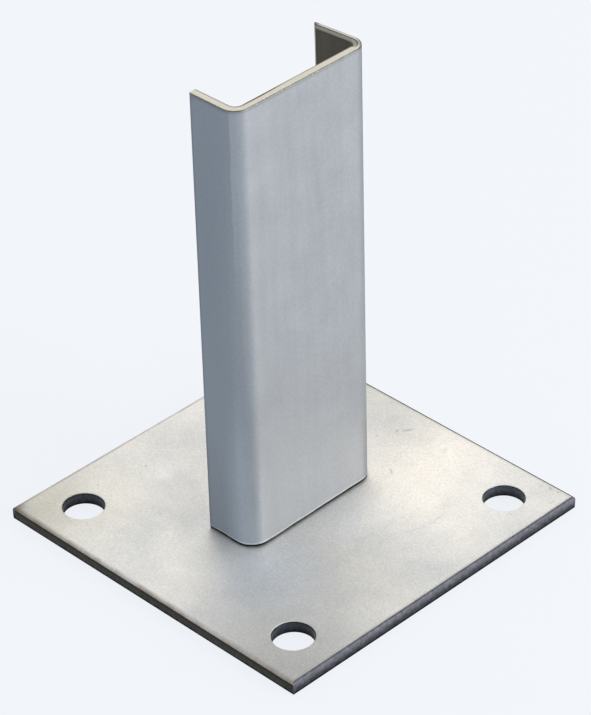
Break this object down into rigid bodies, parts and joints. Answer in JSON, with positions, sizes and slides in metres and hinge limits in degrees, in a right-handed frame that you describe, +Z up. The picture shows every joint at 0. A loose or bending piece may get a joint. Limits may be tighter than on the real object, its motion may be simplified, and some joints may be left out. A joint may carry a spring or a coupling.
{
  "type": "base plate",
  "caption": "Square steel base plate with anchor holes at its corners and a short folded channel welded upright on its middle, to stand a post on a concrete floor.",
  "frame": {"origin": "middle of the plate's underside", "axes": "+Z up along the channel; the channel's web faces -Y and its open side +Y; +X to the right as one looks at the web"},
  "size_m": [0.15, 0.15, 0.193],
  "materials": {
    "plate_steel": "satin mill-finish steel plate, cloudy, with a fine grain",
    "channel_steel": "smooth zinc-coated steel sheet, dull blue-grey",
    "weld_metal": "rippled weld metal, dark and slightly rough"
  },
  "bodies": {
    "root": {"base_plate": "plate_steel", "post_channel": "channel_steel", "web_weld": "weld_metal", "left_flange_weld": "weld_metal", "right_flange_weld": "weld_metal"}
  },
  "joints": []
}
